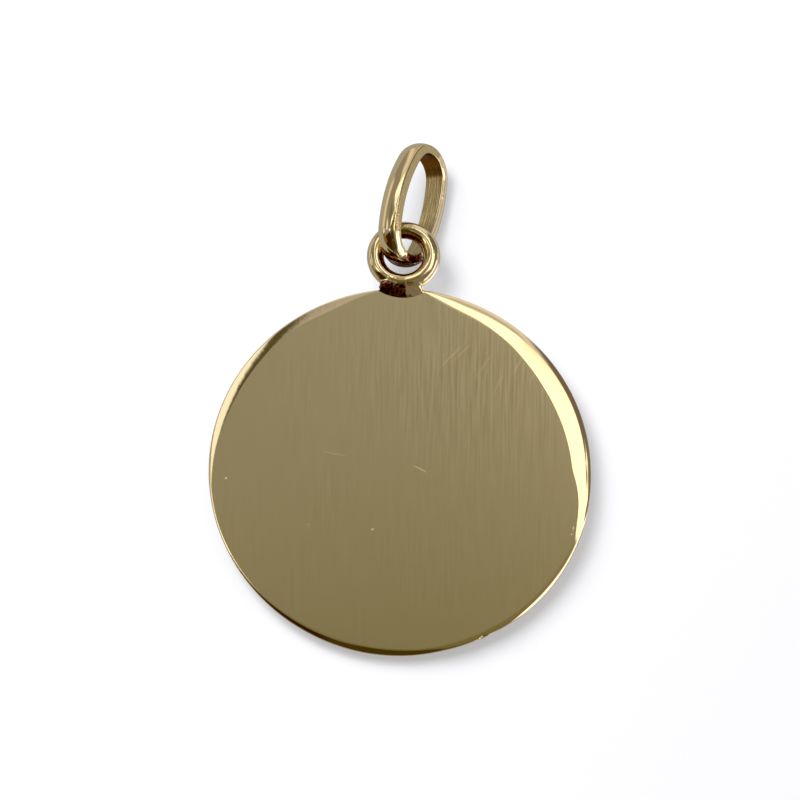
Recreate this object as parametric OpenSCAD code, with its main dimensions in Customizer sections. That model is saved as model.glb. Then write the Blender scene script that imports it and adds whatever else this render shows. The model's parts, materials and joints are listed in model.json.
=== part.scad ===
// Plain round gold medal with a soldered eye and an oval bail, lying on a table.
// Millimetres. The table is z = 0, the medal's face looks up and the eye points to +Y.
// The eye's wire lies over one side of the bail, so the medal leans a little.

/* [Medal disc] */
// Diameter of the disc
disc_d = 18; // [14:0.5:22]
// Thickness of the disc
disc_t = 0.9; // [0.8:0.05:1.2]
// Rounding of the disc's edges
edge_r = 0.12; // [0.05:0.01:0.2]

/* [Polished rim] */
// Slope of the rim where hand polishing has rolled it down, in degrees
roll_slope = 8; // [7:1:15]
// Width of the wide roll, right of the eye
wide_roll_w = 0.75; // [0.3:0.05:1]
// Direction of the wide roll from the centre, anticlockwise from the right
wide_roll_at = 30; // [20:1:40]
// Width of the narrow roll, left of the eye
narrow_roll_w = 0.27; // [0.1:0.01:0.5]
// Direction of the narrow roll from the centre, anticlockwise from the right
narrow_roll_at = 150; // [140:1:160]
// Angle from the middle of a roll to where it runs out
roll_half_angle = 50; // [30:1:55]

/* [Eye] */
// Wire of the eye ring
eye_wire_d = 0.82; // [0.7:0.01:0.9]
// Inside diameter of the eye ring
eye_hole_d = 1.88; // [1.85:0.01:2]
// How far the top of the eye's wire stands above the medal's face
eye_proud = 0.31; // [0.2:0.01:0.4]
// How far the eye's wire reaches over the disc's rim
eye_overlap = 0.05; // [0:0.01:0.1]
// How far the solder spreads beyond the eye's wire
solder_spread = 0.22; // [0.1:0.01:0.3]
// Half the angle that the solder takes up round the eye
solder_half_angle = 42; // [30:1:50]
// How far the solder fills the corner beyond the disc's rim
solder_fill = 0.12; // [0.05:0.01:0.2]

/* [Bail] */
// Inside radius of the bail's ends
bail_end_r = 1.06; // [1.04:0.01:1.1]
// How much larger the inside radius of its long sides is
bail_side_extra_r = 6; // [5.8:0.1:6.2]
// Width of the bail's half-round band
band_w = 1.06; // [0.9:0.01:1.1]
// Thickness of the band at its crown
band_t = 0.53; // [0.45:0.01:0.55]
// Thickness of the band at its edges
band_edge_t = 0.39; // [0.36:0.01:0.42]

/* [How it lies] */
// Height of the middle of the eye above the table, where the bail under it holds it
eye_height = 1.76; // [1.76:0.01:1.8]
// Depth to which the rim is worn flat where it stands on the table
stand_wear = 0.01; // [0.01:0.005:0.03]
// Direction of the medal's lean, clockwise from +Y, towards the bail's foot on the table
lean_at = 4.5; // [3:0.5:6]
// Roll of the bail about its length, from lying flat
bail_roll = 54; // [53:1:55]
// Slope of the bail along its length
bail_slope = -5; // [-6:1:-4]
// Swing of the bail to the right, clockwise from +Y
bail_swing = 13; // [12:1:14]
// Bail's centre, to the right of the disc's centre
bail_x = 0.41; // [0.4:0.01:0.42]
// Bail's centre, beyond the eye's centre towards +Y
bail_beyond_eye = 2.74; // [2.73:0.01:2.76]

/* [Hidden] */
$fn = 96;

// How far a cutting shape runs past what it cuts.
clear = 1;

disc_r = disc_d / 2;
eye_wire_r = eye_wire_d / 2;
eye_r = eye_hole_d / 2 + eye_wire_r;
eye_y = disc_r + eye_r + eye_wire_r - eye_overlap;
eye_z = disc_t + eye_proud - eye_wire_r;
solder_base_z = disc_t / 4;
solder_top_z = disc_t + 0.04;

// The oval is four arcs, two ends and two long sides. They meet smoothly on lines through the ends'
// centres, which run along the long side of a right triangle with sides 7, 24 and 25.
seam_dir = [24, 7] / 25;
side_half_angle = atan2(seam_dir.y, seam_dir.x);
side_r = bail_end_r + bail_side_extra_r;
side_x = bail_side_extra_r * seam_dir.x;
end_y = bail_side_extra_r * seam_dir.y;

// The band's outside is one arc across its width.
crown_rise = band_t - band_edge_t;
crown_r = (band_w ^ 2 / 4 + crown_rise ^ 2) / (2 * crown_rise);
crown_half_angle = asin(band_w / 2 / crown_r);

// How far the oval band reaches from its centre in a direction given in its own axes.
function oval_reach(c, s) =
    atan2(s, c) < side_half_angle ? side_r - side_x * c : bail_end_r + end_y * s;
function band_reach(m, w) =
    atan2(w, m) > crown_half_angle ? m * band_edge_t + w * band_w / 2 : m * (band_t - crown_r) + crown_r;
function reach(d) =
    let (m = norm([d.x, d.y]))
    m * oval_reach(abs(d.x) / m, abs(d.y) / m) + band_reach(m, abs(d.z));

// A direction of the table's axes, seen in the bail's own axes.
function unswing(d) = [
    d.x * cos(bail_swing) - d.y * sin(bail_swing),
    d.x * sin(bail_swing) + d.y * cos(bail_swing),
    d.z
];
function unslope(d) = [
    d.x,
    d.y * cos(bail_slope) + d.z * sin(bail_slope),
    d.z * cos(bail_slope) - d.y * sin(bail_slope)
];
function unroll(d) = [
    d.x * cos(bail_roll) - d.z * sin(bail_roll),
    d.y,
    d.x * sin(bail_roll) + d.z * cos(bail_roll)
];
function bail_reach(d) = reach(unroll(unslope(unswing(d))));

// The medal pivots on the rounding of its near edge until the middle of the eye is at its height.
pivot_z = edge_r - stand_wear;
pivot_to_eye = [disc_r - edge_r + eye_y, eye_z - edge_r];
lean = asin((eye_height - pivot_z) / norm(pivot_to_eye)) - atan2(pivot_to_eye.y, pivot_to_eye.x);

// Places that put both pieces on the table, and the middle of the whole thing's length.
bail_y = eye_y * cos(lean) - eye_z * sin(lean) + bail_beyond_eye;
medal_z = pivot_z + (disc_r - edge_r) * sin(lean) - edge_r * cos(lean);
bail_z = bail_reach([0, 0, -1]);
near_y = (disc_r - edge_r) * cos(lean) + (disc_t - edge_r) * sin(lean) + edge_r;
far_y = bail_y + bail_reach([0, 1, 0]);
middle_y = (far_y - near_y) / 2;

module disc_blank() {
    rotate_extrude() {
        square([disc_r - edge_r, disc_t]);
        translate([0, edge_r]) square([disc_r, disc_t - 2 * edge_r]);
        for (z = [edge_r, disc_t - edge_r])
            translate([disc_r - edge_r, z]) circle(r = edge_r);
    }
}

// What a rolled stretch of the rim leaves: a very flat cone, set off to the other side.
module rim_roll(width, at) {
    offset_d = width / (1 - cos(roll_half_angle));
    face_r = disc_r + offset_d * cos(roll_half_angle);
    run = 1 / tan(roll_slope);
    rotate([0, 0, at])
        translate([-offset_d, 0, -clear])
            cylinder(
                h = disc_t + 2 * clear,
                r1 = face_r + (disc_t + clear) * run,
                r2 = face_r - clear * run
            );
}

module disc() {
    intersection() {
        disc_blank();
        rim_roll(wide_roll_w, wide_roll_at);
        rim_roll(narrow_roll_w, narrow_roll_at);
    }
}

module eye_ring() {
    translate([0, eye_y, eye_z])
        rotate_extrude()
            translate([eye_r, 0]) circle(r = eye_wire_r);
}

// Solder that has run out of the joint, onto the medal's face and into the corners at its rim.
module solder_foot() {
    outer_r = eye_r + eye_wire_r + solder_spread;
    intersection() {
        cylinder(r = disc_r + solder_fill, h = eye_z + eye_wire_r);
        translate([0, eye_y, 0])
            rotate([0, 0, -90 - solder_half_angle])
                rotate_extrude(angle = 2 * solder_half_angle)
                    polygon([
                        [eye_r, solder_base_z],
                        [outer_r, solder_base_z],
                        [outer_r, solder_top_z],
                        [eye_r + eye_wire_r * cos(45), eye_z + eye_wire_r * sin(45)],
                        [eye_r, eye_z]
                    ]);
    }
}

module medal() {
    color("#8f805a")
        difference() {
            translate([0, -middle_y, medal_z])
                rotate([0, 0, -lean_at])
                    rotate([lean, 0, 0])
                        rotate([0, 0, lean_at]) {
                            disc();
                            eye_ring();
                            solder_foot();
                        }
            translate([-disc_r, -disc_d, -clear]) cube([disc_d, disc_d, clear]);
        }
}

module band_section() {
    intersection() {
        translate([0, -band_w / 2]) square([band_t, band_w]);
        translate([band_t - crown_r, 0]) circle(r = crown_r);
    }
}

module band_ring(radius) {
    rotate_extrude()
        translate([radius, 0]) band_section();
}

// The share of a ring that lies inside an outline seen along the ring's axis.
module ring_share(radius, centre, outline) {
    intersection() {
        translate(centre) band_ring(radius);
        translate([0, 0, -band_w]) linear_extrude(2 * band_w) polygon(outline);
    }
}

// Outlines that run well past the band: a fan over one end, and the strip between two seams.
module oval_band() {
    seam = 5 * seam_dir;
    fan = [
        [0, end_y],
        [seam.x, end_y + seam.y],
        [seam.x, 2 * seam.x],
        [-seam.x, 2 * seam.x],
        [-seam.x, end_y + seam.y]
    ];
    strip = [
        [0, end_y],
        [seam.x, end_y + seam.y],
        [seam.x, -end_y - seam.y],
        [0, -end_y]
    ];
    for (turn = [0, 180])
        rotate([0, 0, turn]) {
            ring_share(bail_end_r, [0, end_y], fan);
            ring_share(side_r, [-side_x, 0], strip);
        }
}

module bail() {
    color("#a08a60")
        translate([bail_x, bail_y - middle_y, bail_z])
            rotate([0, 0, -bail_swing])
                rotate([bail_slope, 0, 0])
                    rotate([0, bail_roll, 0]) oval_band();
}

medal();
bail();
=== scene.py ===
# A plain round gold medal with a soldered eye and an oval bail, lying on a pale table.
# Metres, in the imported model's frame: +Z up, +Y from the medal towards the bail.

import json
import math

import bpy
import numpy as np
from mathutils import Matrix, Vector, noise


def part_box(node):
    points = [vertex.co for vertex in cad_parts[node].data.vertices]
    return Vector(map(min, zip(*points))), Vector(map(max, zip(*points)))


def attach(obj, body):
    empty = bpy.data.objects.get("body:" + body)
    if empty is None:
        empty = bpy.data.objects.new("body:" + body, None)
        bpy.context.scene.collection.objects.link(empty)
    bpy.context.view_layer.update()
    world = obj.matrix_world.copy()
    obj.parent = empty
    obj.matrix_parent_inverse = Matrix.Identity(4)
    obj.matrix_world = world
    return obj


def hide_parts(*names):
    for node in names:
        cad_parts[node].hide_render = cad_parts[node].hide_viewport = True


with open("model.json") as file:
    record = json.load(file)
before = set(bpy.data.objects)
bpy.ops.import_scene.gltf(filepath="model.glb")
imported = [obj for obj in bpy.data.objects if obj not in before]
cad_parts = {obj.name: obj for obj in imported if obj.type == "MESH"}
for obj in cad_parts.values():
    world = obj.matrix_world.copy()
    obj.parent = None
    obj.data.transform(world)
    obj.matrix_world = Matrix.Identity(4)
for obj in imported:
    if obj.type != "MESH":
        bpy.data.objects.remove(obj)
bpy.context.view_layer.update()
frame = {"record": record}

# Medal disc
# A blank stamped from gold sheet, 18 mm across and 0.9 mm thick. Its face was brushed to a satin polish
# on a wheel, and the buff has rolled the rim down, widely on the right and narrowly on the left.

mm = 0.001
disc_r = 9.0
disc_t = 0.9

# Directions round the rim are in degrees, anticlockwise from the right, and widths in mm from the rim.
wide_roll = [
    (-23, 0.03), (-19, 0.2), (-10, 0.43), (-5, 0.62), (0, 0.86), (10, 0.97), (22, 1.06), (32, 1.08),
    (42, 1.01), (50, 0.89), (60, 0.77), (70, 0.67), (75, 0.54), (80, 0.31), (84, 0.05),
]
narrow_roll = [
    (97, 0.03), (105, 0.24), (110, 0.39), (115, 0.45), (120, 0.45), (127, 0.42), (135, 0.43),
    (142, 0.48), (150, 0.49), (160, 0.45), (170, 0.36), (178, 0.22), (184, 0.12), (190, 0.03),
]
# Slope in degrees where a roll begins and where it ends, and how softly it begins, in mm
roll_start_slope = [
    (-95, 4), (-78, 0.5), (-32, 0.5), (-27, 2.5), (-20, 7.5), (45, 7), (80, 5.5), (97, 3),
    (117, 3), (125, 2.1), (130, 1.5), (140, 2), (150, 1.6), (178, 1.6), (186, 4), (265, 5),
]
roll_end_slope = [
    (-95, 6), (-78, 1), (-32, 1), (-27, 3.5), (-20, 8.5), (45, 8.5), (80, 8), (97, 3.6),
    (118, 3.9), (130, 4.4), (135, 5.2), (140, 6.2), (150, 6.3), (170, 6.5), (182, 8), (265, 8),
]
roll_softness = [(-90, 0.02), (40, 0.02), (60, 0.06), (80, 0.08), (100, 0.02), (270, 0.02)]
# The steep end of the rim: its length down the slope in mm, the slopes in degrees between which most of it
# lies, and how far it stands out in mm. It is a small round in most places, and worn to a bevel at the lower
# left and the lower right.
bevel = [
    (-150, 0.08), (-140, 0.1), (-130, 0.16), (-120, 0.23), (-110, 0.29), (-100, 0.32), (-90, 0.31),
    (-80, 0.22), (-75, 0.12), (-71, 0.07), (-56, 0.07), (-52, 0.14), (-45, 0.2), (-38, 0.2),
    (-30, 0.14), (-17, 0.1), (-10, 0.16), (-4, 0.3), (1, 0.37), (20, 0.32), (40, 0.32), (50, 0.36),
    (60, 0.38), (70, 0.36), (78, 0.22), (84, 0.1), (100, 0.09), (190, 0.08), (203, 0.05),
]
bevel_from = [
    (-140, 30), (-85, 31), (-73, 28), (-56, 30), (-50, 43), (-18, 43), (-10, 12), (0, 11),
    (40, 11), (50, 9.5), (75, 9.5), (84, 20), (100, 30), (220, 30),
]
bevel_to = [
    (-140, 60), (-125, 50), (-85, 49), (-75, 60), (-56, 60), (-50, 50), (-18, 50), (-10, 32),
    (0, 28), (40, 27), (50, 22), (75, 22), (84, 50), (100, 62), (220, 60),
]
stands_out = [
    (-170, 0.02), (-150, 0.05), (-130, 0.09), (-120, 0.11), (-110, 0.14), (-100, 0.165),
    (-90, 0.175), (-80, 0.175), (-70, 0.19), (-60, 0.2), (-50, 0.22), (-40, 0.21), (-30, 0.18),
    (-20, 0.14), (-10, 0.06), (0, 0.02), (15, -0.01), (50, -0.02), (75, 0.02), (100, 0.02), (190, 0.02),
]
# How far in from the circle the wall's foot lies, in mm
undercut = [(-175, 0), (-150, 0.08), (-20, 0.08), (0, 0.02), (20, 0.02), (185, 0)]
back_edge_r = 0.1
wall_bulge = 0.02
# The knocked facet: its direction and half width in degrees, how much longer it makes the steep end, and
# its slopes
facet_at = 295.8
facet_half_width = 0.8
facet_extra = 0.16
facet_from = 47
facet_to = 53
# Rings of the mesh over the face, where a roll begins, down the roll, down its steep end, down the wall,
# round the back edge and over the back
face_rings = 16
start_rings = 10
roll_rings = 10
steep_rings = 20
wall_rings = 8
back_edge_rings = 7
back_rings = 10


def eased(pairs, directions):
    """A value that changes round the rim, eased between the directions where it is given."""
    at, value = np.array(pairs).T
    turned = (directions - at[0]) % 360 + at[0]
    spreads = np.linspace(-2, 2, 9)
    return np.mean([np.interp(turned + spread, at, value) for spread in spreads], axis=0)


around = np.arange(0, 360, 0.75)
start_slope = np.tan(np.radians(eased(roll_start_slope, around)))
end_slope = np.tan(np.radians(eased(roll_end_slope, around)))
out_by = eased(stands_out, around)

# The steep end, as a run of short straight steps. A knock has left a small bright facet at its near side.
facet = np.exp(-((around - facet_at) / facet_half_width) ** 2)
bevel_length = eased(bevel, around) + facet_extra * facet
bevel_top = eased(bevel_from, around) * (1 - facet) + facet_from * facet
bevel_foot = eased(bevel_to, around) * (1 - facet) + facet_to * facet
steep_steps = []
slopes = np.array([np.degrees(np.arctan(end_slope)), bevel_top, bevel_foot, 90 + 0 * around])
for share in (np.arange(steep_rings) + 0.5) / steep_rings:
    turn = np.radians([np.interp(share, [0, 0.15, 0.85, 1], column) for column in slopes.T])
    step = bevel_length / steep_rings
    steep_steps.append((step * np.cos(turn), step * np.sin(turn)))
steep_w = sum(along for along, down in steep_steps) - out_by
# Where there is no roll, a strip of 0.04 mm still leads from the face to the steep end.
roll_w = np.maximum(np.maximum(eased(wide_roll, around), eased(narrow_roll, around)), steep_w + 0.04)
soft = np.minimum(eased(roll_softness, around), (roll_w - steep_w) / 2.5)

# Rings of the disc from the middle of its face, over the rim, to the middle of its back. Each is a
# distance in from the rim and a height, and both change with the direction.
rings = []
for share in np.linspace(0.02, 1, face_rings):
    rings.append((disc_r - (disc_r - roll_w - soft) * share, disc_t + 0 * around))
for share in np.linspace(0.1, 1, start_rings):
    rings.append((roll_w + soft - 2 * soft * share, disc_t - start_slope * soft * share ** 2))
start_inset, start_z = rings[-1]
roll_span = start_inset - steep_w
for share in np.linspace(0.1, 1, roll_rings):
    fall = start_slope * share + (end_slope - start_slope) * share ** 2 / 2
    rings.append((start_inset - roll_span * share, start_z - roll_span * fall))
for along, down in steep_steps:
    rings.append((rings[-1][0] - along, rings[-1][1] - down))
wall_inset, wall_top = rings[-1]
foot_inset = eased(undercut, around)
for share in np.linspace(0.12, 1, wall_rings):
    bulge = wall_bulge * 4 * share * (1 - share)
    inset = wall_inset + (foot_inset - wall_inset) * share - bulge
    rings.append((inset, wall_top + (back_edge_r - wall_top) * share))
for turn in np.radians(np.linspace(12, 90, back_edge_rings)):
    inset = foot_inset + back_edge_r * (1 - math.cos(turn))
    rings.append((inset, back_edge_r * (1 - math.sin(turn)) + 0 * around))
back_w = foot_inset + back_edge_r
for share in np.linspace(0.1, 0.98, back_rings):
    rings.append((back_w + (disc_r - back_w) * share, 0 * around))

# The disc leans on its near edge, because the bail passes under the eye. The record's mount on its back
# gives where it is and which way it faces.
back = next(m for m in frame["record"]["mounts"] if m["name"] == "back_face")
medal_lean = Vector((0, 0, 1)).rotation_difference(-Vector(back["axis"]))
medal_place = Matrix.Translation(back["pos_m"]) @ medal_lean.to_matrix().to_4x4() @ Matrix.Scale(mm, 4)


def skin(name, points, place, joined):
    """A mesh over rings of points, with its last ring joined to its first, or both closed by a fan."""
    points = np.asarray(points)
    n_rings, n_around = points.shape[:2]
    grid = np.arange(n_rings * n_around).reshape(n_rings, n_around)
    following = np.roll(grid, -1, axis=1)
    upper, lower = (slice(None), slice(None)) if joined else (slice(None, -1), slice(1, None))
    below = np.roll(grid, -1, axis=0) if joined else grid[lower]
    below_following = np.roll(following, -1, axis=0) if joined else following[lower]
    faces = np.stack([grid[upper], below, below_following, following[upper]], axis=-1)
    faces = faces.reshape(-1, 4).tolist()
    corners = points.reshape(-1, 3)
    if not joined:
        ends = [points[0].mean(axis=0), points[-1].mean(axis=0)]
        corners = np.vstack([corners, ends])
        n = n_rings * n_around
        faces += [[n, a, b] for a, b in zip(grid[0], following[0])]
        faces += [[n + 1, b, a] for a, b in zip(grid[-1], following[-1])]
    mesh = bpy.data.meshes.new(name)
    mesh.from_pydata([place @ Vector(c) for c in corners.tolist()], [], faces)
    mesh.validate()
    mesh.shade_smooth()
    piece = bpy.data.objects.new(name, mesh)
    bpy.context.scene.collection.objects.link(piece)
    return piece


angles = np.radians(around)
disc_points = []
for inset, z in rings:
    ring_r = disc_r - inset
    disc_points.append(np.stack([ring_r * np.cos(angles), ring_r * np.sin(angles), z], axis=-1))
disc = skin("disc", disc_points, medal_place, joined=False)
# The rim is worn flat where it stands on the table.
for corner in disc.data.vertices:
    corner.co.z = max(corner.co.z, 0)
disc.data.set_sharp_from_angle(angle=math.radians(40))


def linear(code):
    """An sRGB hex colour as Blender's linear RGBA."""
    channels = [int(code[i:i + 2], 16) / 255 for i in (1, 3, 5)]
    return [c / 12.92 if c <= 0.04045 else ((c + 0.055) / 1.055) ** 2.4 for c in channels] + [1]


def add(tree, kind, inputs=None, **settings):
    """Adds a node, sets its properties, and gives each input a value or links it to another output.

    Inputs that share a name go by number. A Mix node's 0 is its factor, 2 and 3 the numbers that it mixes,
    and 6 and 7 the colours.
    """
    node = tree.nodes.new(kind)
    given = dict(inputs or {})
    for key, value in settings.items():
        if hasattr(node, key):
            setattr(node, key, value)
        else:
            given[key.replace("_", " ")] = value
    for key, value in given.items():
        if isinstance(value, bpy.types.NodeSocket):
            tree.links.new(value, node.inputs[key])
        else:
            node.inputs[key].default_value = value
    return node


def gold(name, roughness, colour=None):
    """A new metal material with its node tree and shader. A colour of one tone goes on the shader itself."""
    material = bpy.data.materials.new(name)
    material.use_nodes = True
    shader = material.node_tree.nodes["Principled BSDF"]
    shader.inputs["Metallic"].default_value = 1
    shader.inputs["Roughness"].default_value = roughness
    if colour:
        shader.inputs["Base Color"].default_value = linear(colour)
    return material, material.node_tree, shader


# 18 carat yellow gold, brushed on a wheel. It mirrors the room softly. The brush lines run along the medal,
# are 0.12 mm apart and 2.5 mm long and show most right of the middle. They are bumped and also painted into
# the colour, darker gold to a pale gold whose lighter lines are painted sheen. Real ones are finer, and
# these are as coarse as the camera's distance needs. A few scratches and specks carry painted glints in
# near-white, and two lines and a pit are painted darker.
face_roughness = 0.14
satin_gold, tree, shader = gold("satin_gold_brushed", face_roughness)
spot = add(tree, "ShaderNodeTexCoord")
drawn_out = add(tree, "ShaderNodeMapping", {"Vector": spot.outputs["Object"]}, Rotation=(0, 0, 0.06),
                Scale=(8300, 400, 0))
lines = add(tree, "ShaderNodeTexNoise", {"Vector": drawn_out.outputs[0]}, Scale=1, Detail=3)
strongest = add(tree, "ShaderNodeMapping", {"Vector": spot.outputs["Object"]}, vector_type="TEXTURE",
                Location=(3.6 * mm, 0.7 * mm, 0), Rotation=(0, 0, -0.3), Scale=(6.5 * mm, 5 * mm, 1))
away = add(tree, "ShaderNodeVectorMath", {0: strongest.outputs[0]}, operation="LENGTH")
depth = add(tree, "ShaderNodeMapRange", {"Value": away.outputs["Value"]}, To_Min=2.3, To_Max=0.4)
line_share = add(tree, "ShaderNodeMath", {0: lines.outputs[0], 1: 0.5}, operation="SUBTRACT")
line_tone = add(tree, "ShaderNodeMath", {0: line_share.outputs[0], 1: depth.outputs[0], 2: 0.5},
                operation="MULTIPLY_ADD")
# Painted sheen: the brush lines' colour runs from a darker gold to a pale, lit gold.
brush_lines_and_sheen = add(tree, "ShaderNodeMix", {0: line_tone.outputs[0], 6: linear("#E3CC92"), 7: linear("#FFEEB8")},
              data_type="RGBA")
grooves = add(tree, "ShaderNodeBump", {"Height": line_tone.outputs[0]}, Strength=1, Distance=0.0008 * mm)
# Marks in mm: middle, half length, half width, direction in degrees, strength, and colour. The near-white
# ones are painted glints on scratches and specks, and the darker ones are two lines and a pit painted
# darker.
glints_and_marks = [
    (0.97, -3.9, 0.38, 0.022, -28, 0.35, "#FFF6D8"), (-3.1, -3.2, 0.8, 0.02, -12, 0.35, "#7C6636"),
    (-3.4, -3.0, 0.6, 0.016, -14, 0.25, "#8C7646"), (-8.18, -4.49, 0.05, 0.05, 0, 0.9, "#FFFFF0"),
    (-1.23, -6.91, 0.05, 0.05, 0, 0.8, "#FFFFF0"), (-4.25, -6.71, 0.05, 0.04, 0, 0.5, "#6E5A30"),
    (8.18, -6.72, 0.1, 0.025, 80, 0.7, "#FFFFF0"), (8.1, -7.02, 0.05, 0.03, 60, 0.6, "#FFFFF0"),
    (2.3, 1.7, 0.9, 0.02, 48, 0.25, "#FFF0C8"), (2.9, 2.0, 0.6, 0.02, 44, 0.2, "#FFF0C8"),
    (5.6, 1.5, 0.7, 0.02, 62, 0.25, "#FFF0C8"), (6.3, 0.9, 0.5, 0.02, 66, 0.2, "#FFF0C8"),
    (3.9, 1.3, 0.8, 0.02, 58, 0.2, "#FFF0C8"), (4.6, 0.4, 0.6, 0.02, 64, 0.2, "#FFF0C8"),
]
colour = brush_lines_and_sheen.outputs[2]
scatter = face_roughness
for x, y, half_length, half_width, turn, strength, code in glints_and_marks:
    own = add(tree, "ShaderNodeMapping", {"Vector": spot.outputs["Object"]}, vector_type="TEXTURE",
              Location=(x * mm, y * mm, 0), Rotation=(0, 0, math.radians(turn)),
              Scale=(half_length * mm, half_width * mm, 1))
    away = add(tree, "ShaderNodeVectorMath", {0: own.outputs[0]}, operation="LENGTH")
    share = add(tree, "ShaderNodeMapRange", {"Value": away.outputs["Value"]}, From_Min=0.5, From_Max=1.3,
                To_Min=strength, To_Max=0)
    # Each mark mixes its colour in, and the near-white ones are painted glints.
    glint_or_mark = add(tree, "ShaderNodeMix", {0: share.outputs[0], 6: colour, 7: linear(code)}, data_type="RGBA")
    colour = glint_or_mark.outputs[2]
    rougher = add(tree, "ShaderNodeMath", {0: share.outputs[0], 1: 0.5, 2: scatter},
                  operation="MULTIPLY_ADD")
    scatter = rougher.outputs[0]
tree.links.new(colour, shader.inputs["Base Color"])
tree.links.new(scatter, shader.inputs["Roughness"])
tree.links.new(grooves.outputs[0], shader.inputs["Normal"])
disc.data.materials.append(satin_gold)

# The same gold, polished on a buff. It mirrors the room sharply, and the buff has left it faintly wavy at
# 0.3 mm, which bends the edges of what it mirrors.
polished_gold, tree, shader = gold("gold_polished", 0.06, "#F6DFA6")
spot = add(tree, "ShaderNodeTexCoord")
waves = add(tree, "ShaderNodeTexNoise", {"Vector": spot.outputs["Object"]}, Scale=3300, Detail=2)
ripple = add(tree, "ShaderNodeBump", {"Height": waves.outputs[0]}, Strength=1, Distance=0.0012 * mm)
tree.links.new(ripple.outputs[0], shader.inputs["Normal"])
disc.data.materials.append(polished_gold)

# The rolled rim is polished, and the face and the back are brushed.
rim_from = (face_rings + start_rings // 2) * len(around)
rim_to = (len(rings) - back_rings - 1) * len(around)
for face in disc.data.polygons:
    face.material_index = int(rim_from <= face.index < rim_to)

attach(disc, "root")
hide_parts("medal")

# Eye ring
# Round gold wire of 0.82 mm bent to a ring and soldered to the disc's rim. The solder has run a little
# way onto the face and filled the corners on both sides.

# Sizes in mm and angles in degrees, in the disc's own axes from the middle of its back
wire_r = 0.41
eye_r = 1.35
eye_y = 10.71
eye_z = 0.80
solder_foot_r = 2.14
solder_crown_r = 1.397
solder_foot_slope = 38.8
solder_flat_from_x = 0.14
solder_flat_end_slope = 0.7
solder_flat_at = (0.9, 8.78)
solder_flat_slope = 20
solder_flat_faces = -65
solder_middle = -3
solder_half_angle = 38
solder_beyond_rim = 0.12
solder_bottom_z = 0.25
solder_from_r = 1.36
solder_corner_r = 0.03
solder_lumps = 0.016


def blended(a, b, reach):
    """The smaller of two distances, rounded where they meet as molten solder rounds a corner."""
    share = np.clip(0.5 + 0.5 * (b - a) / reach, 0, 1)
    return b + (a - b) * share - reach * share * (1 - share)


def outside(p):
    """How far points are outside the soldered eye: its wire, the solder and the disc that it wets."""
    x, y, z = p[..., 0], p[..., 1], p[..., 2]
    from_axis = np.hypot(x, y - eye_y)
    wire = np.hypot(from_axis - eye_r, z - eye_z) - wire_r
    rim = np.hypot(x, y) - disc_r
    top = np.abs(z - disc_t / 2) - disc_t / 2
    disc_body = np.minimum(np.maximum(rim, top), 0) + np.hypot(np.maximum(rim, 0), np.maximum(top, 0))
    foot = math.radians(solder_foot_slope)
    crown_z = disc_t - solder_crown_r * math.cos(foot)
    crown_from_axis = solder_foot_r - solder_crown_r * math.sin(foot)
    crown = np.hypot(from_axis - crown_from_axis, z - crown_z) - solder_crown_r
    lean, faces = math.radians(solder_flat_slope), math.radians(solder_flat_faces)
    across = math.cos(faces) * (x - solder_flat_at[0]) + math.sin(faces) * (y - solder_flat_at[1])
    flat = math.sin(lean) * across + math.cos(lean) * (z - disc_t)
    flat = np.minimum(flat, (x - solder_flat_from_x) * solder_flat_end_slope)
    turned = np.abs(np.arctan2(x, eye_y - y) - math.radians(solder_middle))
    turned = turned - math.radians(solder_half_angle)
    wedge = blended(-crown, -flat, 0.02)
    rim_side = rim - solder_beyond_rim - 4 * np.maximum(z - disc_t, 0)
    for side, softness in ((rim_side, 0.12), (solder_bottom_z - z, 0.12), (turned * from_axis, 0.4)):
        wedge = blended(wedge, -side, softness)
    wedge = blended(wedge, from_axis - solder_from_r, solder_corner_r)
    joined = blended(wire, -wedge, solder_corner_r)
    return blended(joined, disc_body, solder_corner_r)


# Each point of the wire's round surface moves out from the wire's middle to the surface of the whole.
ring_turn, wire_turn = np.meshgrid(
    np.radians(np.arange(0, 360, 0.75)), np.radians(np.arange(0, 360, 4)), indexing="ij"
)
out = np.stack([np.cos(ring_turn), np.sin(ring_turn), 0 * ring_turn], axis=-1)
centre = np.array([0, eye_y, eye_z]) + eye_r * out
ray = np.cos(wire_turn)[..., None] * out + np.sin(wire_turn)[..., None] * np.array([0, 0, 1])
near = np.full(ray.shape[:2], wire_r * 0.9)
far = np.full(ray.shape[:2], wire_r + 0.5)
for step in range(22):
    middle = (near + far) / 2
    inside = outside(centre + ray * middle[..., None]) < 0
    near = np.where(inside, middle, near)
    far = np.where(inside, far, middle)
eye_points = centre + ray * near[..., None]
# The solder froze with small lumps, and the wire is a little uneven.
lumpy = np.clip((near - wire_r) / 0.05, 0.12, 1)
lumps = np.array([[noise.noise(Vector(p) * 6.5) for p in row] for row in eye_points.tolist()])
lumps = (lumps * lumpy * solder_lumps)[..., None]
eye = skin("eye_ring", eye_points + ray * lumps, medal_place, joined=True)

# Gold painted dark red-brown as painted shade and painted dark reflection, inside the ring and on the
# solder's left part. It is red-brown in patches 0.12 mm across.
shade_painted_gold, tree, shader = gold("gold_painted_shade", 0.18)
spot = add(tree, "ShaderNodeTexCoord")
blotches = add(tree, "ShaderNodeTexNoise", {"Vector": spot.outputs["Object"]}, Scale=8000, Detail=2)
blotch_share = add(tree, "ShaderNodeMapRange", {"Value": blotches.outputs[0]}, From_Min=0.4, From_Max=0.62)
shade_tone = add(tree, "ShaderNodeMix", {0: blotch_share.outputs[0], 6: linear("#5C2C20"), 7: linear("#C8906E")},
            data_type="RGBA")
tree.links.new(shade_tone.outputs[2], shader.inputs["Base Color"])
uneven = add(tree, "ShaderNodeBump", {"Height": blotches.outputs[0]}, Strength=1, Distance=0.01 * mm)
tree.links.new(uneven.outputs[0], shader.inputs["Normal"])
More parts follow.
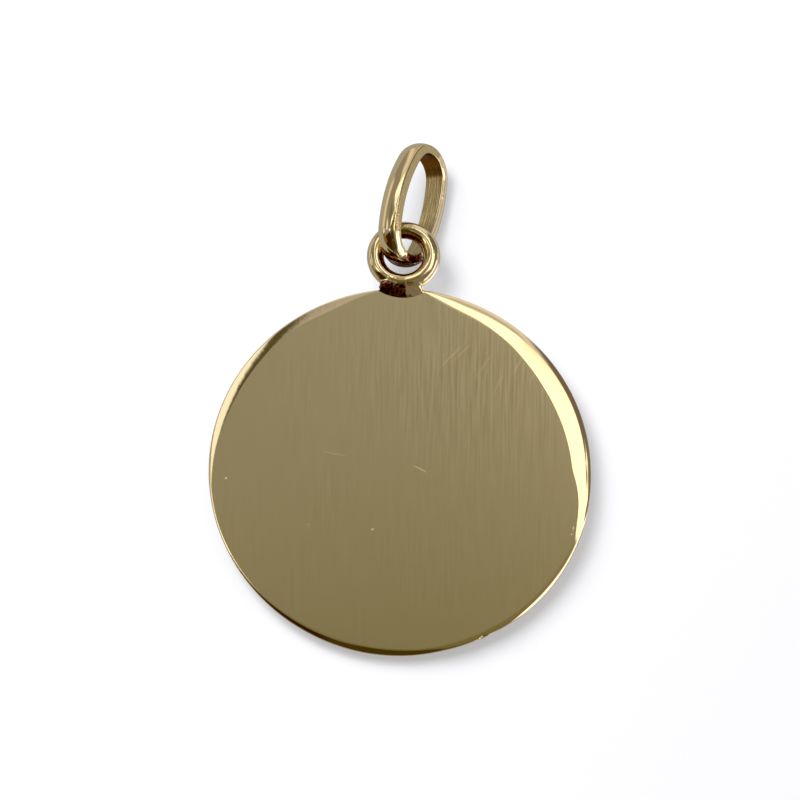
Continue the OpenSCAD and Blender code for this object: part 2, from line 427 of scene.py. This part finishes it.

# Gold dressed with a fine file and left so, as on the lower half of the ring's outside and on the bail's
# edges. Its grain of 0.09 mm breaks up what it mirrors, and its colour is painted darker than the polished
# gold as painted shade.
filed_and_shaded_gold, tree, shader = gold("gold_filed_shade_painted", 0.16, "#CDB377")
spot = add(tree, "ShaderNodeTexCoord")
grain = add(tree, "ShaderNodeTexNoise", {"Vector": spot.outputs["Object"]}, Scale=11000, Detail=2)
bite = add(tree, "ShaderNodeBump", {"Height": grain.outputs[0]}, Strength=1, Distance=0.014 * mm)
tree.links.new(bite.outputs[0], shader.inputs["Normal"])

for finish in (polished_gold, shade_painted_gold, filed_and_shaded_gold):
    eye.data.materials.append(finish)
# Round the wire, 0 degrees faces out of the ring, 90 up, 180 into the hole and 270 down.
inside_ring = np.abs(np.degrees(wire_turn) - 190) < 42
on_solder = near > wire_r + solder_corner_r
# Painted shade: inside the ring and on the solder's left part the red-brown shade gold goes on.
shade_painted_at = inside_ring | (on_solder & (eye_points[..., 0] < solder_flat_from_x))
lower_outside = np.abs(np.degrees(wire_turn) - 315) < 44
finishes = np.where(shade_painted_at, 1, np.where(lower_outside, 2, 0)).ravel().tolist()
for face, finish in zip(eye.data.polygons, finishes):
    face.material_index = finish

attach(eye, "root")
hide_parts("medal")

# Bail
# An oval link of half-round gold band, crowned outside and flat inside, bent round a mandrel and soldered
# shut. It passes through the eye, and its lower end lies on the table under the eye.

# Sizes in mm. A turn is the direction that a place on the oval faces, anticlockwise from the right limb.
band_w = 1.06
band_t = 0.53
band_edge_t = 0.39
band_inner_corner_r = 0.05
band_outer_corner_r = 0.09
left_extra_t = 0.11
left_extra_reach = 0.9
rounded_edge = 0.13
dished_edge = 0.05
worn_from_w = 0.3
pit_depth = 0.02
pits_from_w = 0.4
pits_full_from_x = 0.2
bail_end_r = 1.06
bail_side_extra_r = 6.0
bail_side_half_angle = math.atan2(7, 24)
bail_roll = math.radians(54)
bail_slope = math.radians(-5)
bail_swing = math.radians(13)

# The band's outline across: flat inside, straight sides, one arc for the crown, and rounded corners.
crown_rise = band_t - band_edge_t
crown_r = (band_w ** 2 / 4 + crown_rise ** 2) / (2 * crown_rise)
crown_x = band_t - crown_r
corner_y = band_w / 2 - band_outer_corner_r
corner_x = crown_x + math.sqrt((crown_r - band_outer_corner_r) ** 2 - corner_y ** 2)
crown_half = math.atan2(corner_y, corner_x - crown_x)
half_outline = []
for t in np.linspace(0, 1, 16):
    half_outline.append((crown_x + crown_r * math.cos(crown_half * t), crown_r * math.sin(crown_half * t)))
for t in np.linspace(0, 1, 8)[1:]:
    turn = crown_half + (math.pi / 2 - crown_half) * t
    half_outline.append((corner_x + band_outer_corner_r * math.cos(turn),
                         corner_y + band_outer_corner_r * math.sin(turn)))
for t in np.linspace(0, 1, 6)[1:-1]:
    half_outline.append((corner_x + (band_inner_corner_r - corner_x) * t, band_w / 2))
for t in np.linspace(0, 1, 7):
    turn = math.pi / 2 + math.pi / 2 * t
    half_outline.append((band_inner_corner_r + band_inner_corner_r * math.cos(turn),
                         band_w / 2 - band_inner_corner_r + band_inner_corner_r * math.sin(turn)))
for t in np.linspace(0, 1, 9)[1:]:
    half_outline.append((0, (band_w / 2 - band_inner_corner_r) * (1 - t)))
outline = np.array(half_outline + [(x, -w) for x, w in half_outline[-2:0:-1]])

# Directions that the oval faces as it goes round, closely spaced on its long sides.
side_turns = np.linspace(-bail_side_half_angle, bail_side_half_angle, 161)[:-1]
end_turns = np.linspace(bail_side_half_angle, math.pi - bail_side_half_angle, 121)[:-1]
half_turns = np.concatenate([side_turns, end_turns])


def window_of(turn, start, full, full_to, stop):
    """A share that rises from one direction to the next, holds and falls again, in degrees."""
    return float(np.interp(math.degrees(turn) % 360, [start, full, full_to, stop], [0, 1, 1, 0]))


all_turns = np.concatenate([half_turns, half_turns + math.pi])
side_centre_x = bail_side_extra_r * math.cos(bail_side_half_angle)
end_centre_y = bail_side_extra_r * math.sin(bail_side_half_angle)
bail_rings = []
for turn in all_turns:
    facing = np.array([math.cos(turn), math.sin(turn), 0])
    worn_in = left_extra_t * math.exp(-((turn - math.pi) / left_extra_reach) ** 4)
    on_side = abs(math.sin(turn)) < math.sin(bail_side_half_angle)
    inner = facing * bail_end_r
    if on_side:
        inner = facing * (bail_end_r + bail_side_extra_r)
        inner = inner - np.array([math.copysign(side_centre_x, facing[0]), 0, 0])
    else:
        inner = inner + np.array([0, math.copysign(end_centre_y, facing[1]), 0])
    # The lower left of the upper edge is worn round, the soldered seam beside it is pitted, and the right
    # side is worn down at its inner corner and has two nicks.
    worn_round = window_of(turn, 189, 197, 264, 272) + 0.6 * window_of(turn, 236, 250, 262, 268)
    rounding = rounded_edge * worn_round
    dish = dished_edge * window_of(turn + math.pi, 110, 130, 230, 245)
    pitting = pit_depth * window_of(turn, 183, 186, 196, 199)
    nicks = pit_depth * window_of(turn, 7, 8, 11, 12)
    points = []
    for x, w in outline:
        point = inner + facing * (x - worn_in * (1 - x / band_t)) + np.array([0, 0, w])
        if w > worn_from_w:
            worn = (w - worn_from_w) / (band_w / 2 - worn_from_w)
            point[2] -= (rounding * (x / band_t) ** 2 + dish * (1 - x / band_t) ** 2) * worn
            pits = max(0, noise.noise(Vector(inner * 9) + Vector((x * 7, w * 7, 3))))
            at_edge = min(1, x / pits_full_from_x) * max(0, w - pits_from_w) / (band_w / 2 - pits_from_w)
            point -= (facing * 0.5 + np.array([0, 0, 0.85])) * (pitting + nicks) * pits * at_edge
        points.append(point)
    bail_rings.append(points)

low, high = (np.array(corner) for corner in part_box("bail"))
bail_place = (
    Matrix.Translation(((low + high) / 2).tolist())
    @ Matrix.Rotation(-bail_swing, 4, "Z") @ Matrix.Rotation(bail_slope, 4, "X")
    @ Matrix.Rotation(bail_roll, 4, "Y") @ Matrix.Scale(mm, 4)
)
bail = skin("bail_link", bail_rings, bail_place, joined=True)

# Where each point is on the band: across it and along it in mm, and how much painted shade the bend there
# has.
middles = np.asarray(bail_rings).mean(axis=1)
steps = np.linalg.norm(np.roll(middles, -1, axis=0) - middles, axis=1)
run = np.concatenate([[0], np.cumsum(steps)[:-1]])
run = np.minimum(run, steps.sum() - run)
turns_deg = np.degrees(all_turns)
bend_shade_at = [(12, 0), (30, 0.35), (60, 1), (110, 1), (150, 0), (235, 0), (255, 0.9), (300, 0.9), (330, 0)]
bend_shade = np.interp(turns_deg, *np.array(bend_shade_at).T)
band_at = bail.data.attributes.new("band_at", "FLOAT_VECTOR", "POINT")
band_at.data.foreach_set("vector", np.stack([
    np.tile(outline[:, 1], len(run)), np.repeat(run, len(outline)), np.repeat(bend_shade, len(outline))
], axis=-1).ravel())

# The band's inside as it was drawn and soldered, never polished: a dull, darker gold with streaks 0.06 mm
# wide along it, painted brown in the bend as painted shade.
drawn_and_bend_shaded_gold, tree, shader = gold("gold_drawn_unpolished_bend_shaded", 0.2)
on_band = add(tree, "ShaderNodeAttribute", attribute_name="band_at")
stretched = add(tree, "ShaderNodeMapping", {"Vector": on_band.outputs["Vector"]}, Scale=(16, 0.8, 0))
streaks = add(tree, "ShaderNodeTexNoise", {"Vector": stretched.outputs[0]}, Scale=1, Detail=3)
streak_share = add(tree, "ShaderNodeMapRange", {"Value": streaks.outputs[0]}, From_Min=0.35, From_Max=0.65)
dull = add(tree, "ShaderNodeMix", {0: streak_share.outputs[0], 6: linear("#A08847"), 7: linear("#EBD6A0")},
           data_type="RGBA")
axes = add(tree, "ShaderNodeSeparateXYZ", {"Vector": on_band.outputs["Vector"]})
bend_shaded = add(tree, "ShaderNodeMix", {0: axes.outputs["Z"], 6: dull.outputs[2], 7: linear("#8A5A22")},
              data_type="RGBA")
tree.links.new(bend_shaded.outputs[2], shader.inputs["Base Color"])
grooves = add(tree, "ShaderNodeBump", {"Height": streaks.outputs[0]}, Strength=1, Distance=0.012 * mm)
tree.links.new(grooves.outputs[0], shader.inputs["Normal"])

for finish in (polished_gold, drawn_and_bend_shaded_gold, filed_and_shaded_gold, shade_painted_gold):
    bail.data.materials.append(finish)
is_polished, is_drawn_and_shaded, is_filed_and_shaded, is_shade_painted = range(4)
ends = np.stack([outline, np.roll(outline, -1, axis=0)])
flat_within = 0.012
inside_flat = (ends[..., 0] < flat_within).all(axis=0)
edge_flat = (np.abs(ends[..., 1]) > band_w / 2 - flat_within).all(axis=0)
finish_at = np.where(inside_flat, is_drawn_and_shaded, np.where(edge_flat, is_filed_and_shaded, is_polished)).tolist()
# The file's marks, with their colour painted darker as shade, are left on the upper left alone. Below, the
# gold is painted red-brown as painted shade.
for face in bail.data.polygons:
    finish = finish_at[face.index % len(outline)]
    turn = turns_deg[face.index // len(outline)]
    w = outline[face.index % len(outline), 1]
    if finish == is_filed_and_shaded and not 75 < turn < 205:
        finish = is_polished
    # Painted shade: on the band's lower part the polished gold gives way to the red-brown shade gold.
    shaded_from, shaded_to = (244, 310) if w < 0.22 else (268, 330)
    if finish == is_polished and shaded_from < turn < shaded_to:
        finish = is_shade_painted
    face.material_index = finish

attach(bail, "root")
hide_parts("bail")

# Table
# A plain white card that the pendant lies on, glowing evenly for the camera and lit so strongly that only
# the soft shadow beside the gold shows on it. The gold mirrors it darker, but for two painted pools of glow
# at its right, which only the gold sees.

card_half = 0.5
card_corners = [(-card_half, -card_half, 0), (card_half, -card_half, 0),
                (card_half, card_half, 0), (-card_half, card_half, 0)]
floor_mesh = bpy.data.meshes.new("table_card")
floor_mesh.from_pydata(card_corners, [], [(0, 1, 2, 3)])
floor = bpy.data.objects.new("table_card", floor_mesh)
bpy.context.scene.collection.objects.link(floor)
card = bpy.data.materials.new("white_card_matte")
card.use_nodes = True
tree = card.node_tree
shader = tree.nodes["Principled BSDF"]
shader.inputs["Roughness"].default_value = 0.9
seen = add(tree, "ShaderNodeLightPath")
by_camera = seen.outputs["Is Camera Ray"]
tone = add(tree, "ShaderNodeMix", {0: by_camera, 6: linear("#8A8B8F"), 7: linear("#ADAEB2")},
           data_type="RGBA")
tree.links.new(tone.outputs[2], shader.inputs["Base Color"])
# Each painted pool of glow is its middle, its inner and outer radius in mm and its strength.
painted_light_pools = [((3.2, 5.4, 0), 1.1, 2.1, 1.3), ((20, 13, 0), 11, 18, 0.3)]
place = add(tree, "ShaderNodeTexCoord")
painted_pools = []
for centre, inner, outer, strength in painted_light_pools:
    away = add(tree, "ShaderNodeVectorMath", {0: place.outputs["Object"], 1: Vector(centre) * mm},
               operation="DISTANCE")
    spot = add(tree, "ShaderNodeMapRange", {"Value": away.outputs["Value"]}, interpolation_type="SMOOTHSTEP",
               From_Min=inner * mm, From_Max=outer * mm, To_Min=strength, To_Max=0)
    painted_pools.append(spot.outputs[0])
both = add(tree, "ShaderNodeMath", {0: painted_pools[0], 1: painted_pools[1]}, operation="ADD")
glow = add(tree, "ShaderNodeMix", {0: by_camera, 2: both.outputs[0], 3: 0.4}, data_type="FLOAT")
tree.links.new(glow.outputs[0], shader.inputs["Emission Strength"])
tint = add(tree, "ShaderNodeMix", {0: by_camera, 6: (0.8, 0.85, 1.15, 1), 7: (1, 1, 1, 1)}, data_type="RGBA")
tree.links.new(tint.outputs[2], shader.inputs["Emission Color"])
floor_mesh.materials.append(card)

# Studio light
# A tent of soft grey light round the table. A long window above the far side, a pale wall under it and a
# low window on the right show in the gold as bright streaks, and the photographer's side is dark.

window = (1.75, 1.75, 1.75)
low_window = (1.7, 1.65, 2.1)
pale_wall = (0.82, 0.80, 0.95)
beige_wall = (0.78, 0.74, 0.78)
grey_wall = (0.3, 0.275, 0.28)
tan_wall = (0.2, 0.185, 0.17)
dark_frame = (0.09, 0.08, 0.045)
dark_coat = (0.04, 0.02, 0.013)

# Each panel of the tent is a direction, its half width, the height of its middle above the table, its half
# height, the softness of its edge, all in degrees, and its light.
panels = [
    (0, 180, 90, 14, 4, (0.16, 0.145, 0.065)),
    (15, 20, 20, 26, 5, tan_wall),
    (45, 15, 25, 35, 4, (0.18, 0.15, 0.17)),
    (70, 11, 25, 35, 4, pale_wall),
    (88, 7, 25, 35, 4, (0.45, 0.42, 0.42)),
    (102, 8, 18, 23, 5, beige_wall),
    (131, 21, 16, 25, 6, grey_wall),
    (104, 9, 36, 9, 4, (0.75, 0.73, 0.75)),
    (168, 10, 33, 5, 3, (0.95, 0.9, 1.0)),
    (174, 12, 8, 14, 5, tan_wall),
    (150, 17, 5, 9, 4, (0.74, 0.71, 0.74)),
    (175, 6, 11, 7, 3, (1.0, 0.9, 1.0)),
    (-176, 6, 56, 8, 4, window),
    (144, 8, 72, 5, 3, window),
    (150, 10, 50, 12, 5, tan_wall),
    (-40, 25, 45, 30, 8, tan_wall),
    (-16, 24, 7, 9.5, 4, low_window),
    (-56, 4, 13, 7, 2, low_window),
    (-131, 36, 15, 51, 6, dark_coat),
    (-80, 17, 35, 32, 6, (0.13, 0.1, 0.06)),
    (-99, 20, 25, 28, 3, (0.065, 0.045, 0.018)),
    (4.5, 8.5, 1, 7, 1.5, low_window),
    (19, 6, 2, 9, 1.5, (0.62, 0.62, 0.85)),
    (-163, 13, 9, 7, 3, (0.24, 0.17, 0.04)),
    (-92, 26, 69, 12, 5, (0.05, 0.04, 0.03)),
    (14, 19, 60, 13, 4, window),
    (55, 25, 65, 6, 3, window),
    (76, 9, 59, 4, 1.5, window),
    (74, 10, 49.5, 7, 1.5, (0.56, 0.56, 0.61)),
    (111.5, 18, 52, 8, 4, window),
    (121, 11, 62, 11, 2.5, (1.1, 1.15, 1.35)),
    (99.5, 4, 65, 5, 2, (0.5, 0.49, 0.58)),
    (108, 5, 67, 6, 1.8, dark_frame),
]

world = bpy.data.worlds.new("studio_tent")
bpy.context.scene.world = world
world.use_nodes = True
tree = world.node_tree
background = tree.nodes["Background"]
sky = add(tree, "ShaderNodeTexCoord")
axes = add(tree, "ShaderNodeSeparateXYZ", {"Vector": sky.outputs["Generated"]})
heading = add(tree, "ShaderNodeMath", {0: axes.outputs["Y"], 1: axes.outputs["X"]}, operation="ARCTAN2")
height = add(tree, "ShaderNodeMath", {0: axes.outputs["Z"]}, operation="ARCSINE")
light = (0.315, 0.31, 0.32, 1)
for at, half_width, middle, half_height, soft, colour in panels:
    shares = []
    for angle, centre_at, half in ((heading, at, half_width), (height, middle, half_height)):
        off = add(tree, "ShaderNodeMath", {0: angle.outputs[0], 1: math.radians(centre_at)},
                  operation="SUBTRACT")
        turned = add(tree, "ShaderNodeMath", {0: off.outputs[0], 1: math.pi, 2: -math.pi}, operation="WRAP")
        size = add(tree, "ShaderNodeMath", {0: turned.outputs[0]}, operation="ABSOLUTE")
        share = add(tree, "ShaderNodeMapRange", {"Value": size.outputs[0]}, interpolation_type="SMOOTHSTEP",
                    From_Min=math.radians(half - soft), From_Max=math.radians(half + soft),
                    To_Min=1, To_Max=0)
        shares.append(share.outputs[0])
    both = add(tree, "ShaderNodeMath", {0: shares[0], 1: shares[1]}, operation="MULTIPLY")
    mixed = add(tree, "ShaderNodeMix", {0: both.outputs[0], 6: light, 7: (*colour, 1)}, data_type="RGBA")
    light = mixed.outputs[2]
tree.links.new(light, background.inputs["Color"])

# Two soft lamps that the gold doesn't mirror. The one at the upper left lays the shadow to the lower right,
# and the one above lays the bail's own shadow inside its opening.
lamps = [("side_lamp", (-0.14, 0.12, 0.2), 0.13, 0.47), ("top_lamp", (-0.075, 0.03, 0.2), 0.13, 0.36)]
for name, lamp_from, size, energy in lamps:
    lamp_data = bpy.data.lights.new(name, "AREA")
    lamp_data.shape = "DISK"
    lamp_data.size = size
    lamp_data.energy = energy
    lamp = bpy.data.objects.new(name, lamp_data)
    bpy.context.scene.collection.objects.link(lamp)
    lamp.location = lamp_from
    lamp.rotation_euler = Vector(lamp_from).to_track_quat("Z", "Y").to_euler()
    lamp.visible_glossy = False

# Camera
# It looks down on the pendant from the near side, 68 degrees above the table and 200 mm away, as the
# photograph was taken.

camera_away = 0.2
camera_data = bpy.data.cameras.new("camera")
camera_data.sensor_width = 36
camera_data.lens = 188.247
camera_data.clip_start = 0.01
camera = bpy.data.objects.new("camera", camera_data)
bpy.context.scene.collection.objects.link(camera)
elevation = math.radians(67.897)
azimuth = math.radians(0.959)
target = Vector((-0.0605, 0.1323, 0)) * mm
level = math.cos(elevation)
back_off = Vector((math.sin(azimuth) * level, -math.cos(azimuth) * level, math.sin(elevation)))
camera.location = target + back_off * camera_away
camera.rotation_euler = back_off.to_track_quat("Z", "Y").to_euler()
bpy.context.scene.camera = camera
# The plain view of the scene's light, with its darkest tones a little deeper, as in the photograph
settings = bpy.context.scene.view_settings
settings.view_transform = "Standard"
settings.use_curve_mapping = True
settings.curve_mapping.black_level = (0.005, 0.005, 0.005)
settings.curve_mapping.update()
